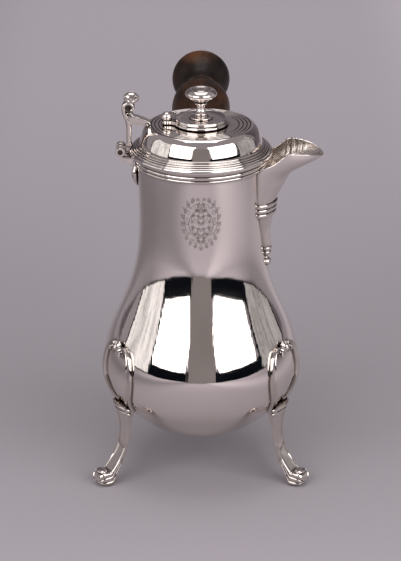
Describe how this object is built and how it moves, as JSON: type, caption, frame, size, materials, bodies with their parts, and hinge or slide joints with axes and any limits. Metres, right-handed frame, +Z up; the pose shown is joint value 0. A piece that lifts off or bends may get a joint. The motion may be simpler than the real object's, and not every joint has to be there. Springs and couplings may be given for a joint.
{
  "type": "chocolate pot",
  "caption": "Pear-shaped silver chocolate pot on scroll feet, with a beak spout, turned wooden side handle, hinged domed lid and a swivelling finial cover over the stirring hole.",
  "frame": {"origin": "on the table under the pot's turning axis, between the three feet", "axes": "+Z up, +X towards the spout, -X towards the lid hinge, +Y along the wooden handle, away from the viewer in the picture"},
  "size_m": [0.1476, 0.2778, 0.2588],
  "materials": {
    "silver": "polished, with the fine scratches of old hand-worked silver",
    "wood": "dark stained hardwood, waxed, satin"
  },
  "bodies": {
    "pot": {"body_shell": "silver", "body_collar": "silver", "spout_shell": "silver", "spout_band": "silver", "spout_tail": "silver", "spout_drop": "silver", "foot_leg_left": "silver", "foot_leg_right": "silver", "foot_leg_rear": "silver", "foot_shield_left": "silver", "foot_shield_right": "silver", "foot_shield_rear": "silver", "foot_palmette_left": "silver", "foot_palmette_right": "silver", "foot_palmette_rear": "silver", "handle_plate": "silver", "handle_socket": "silver", "handle_rivet": "silver", "handle_grip": "wood", "hinge_body_leaf": "silver", "hinge_drop": "silver", "hinge_pin": "silver"},
    "lid": {"lid_rim": "silver", "lid_dome": "silver", "lid_bezel": "silver", "stirrer_hole_collar": "silver", "swivel_pin": "silver", "hinge_lid_leaf": "silver", "thumbpiece": "silver"},
    "finial": {"cover_plate": "silver", "finial_stem": "silver", "finial_knob": "silver"}
  },
  "joints": [
    {"name": "lid_hinge", "type": "hinge", "parent": "pot", "child": "lid", "pos_m": [-0.051, 0, 0.2188], "axis": [0, -1, 0], "range_deg": [0, 105]},
    {"name": "finial_swivel", "type": "hinge", "parent": "lid", "child": "finial", "pos_m": [-0.0216, 0, 0.2368], "axis": [0, 0, 1], "range_deg": [-95, 95]}
  ]
}
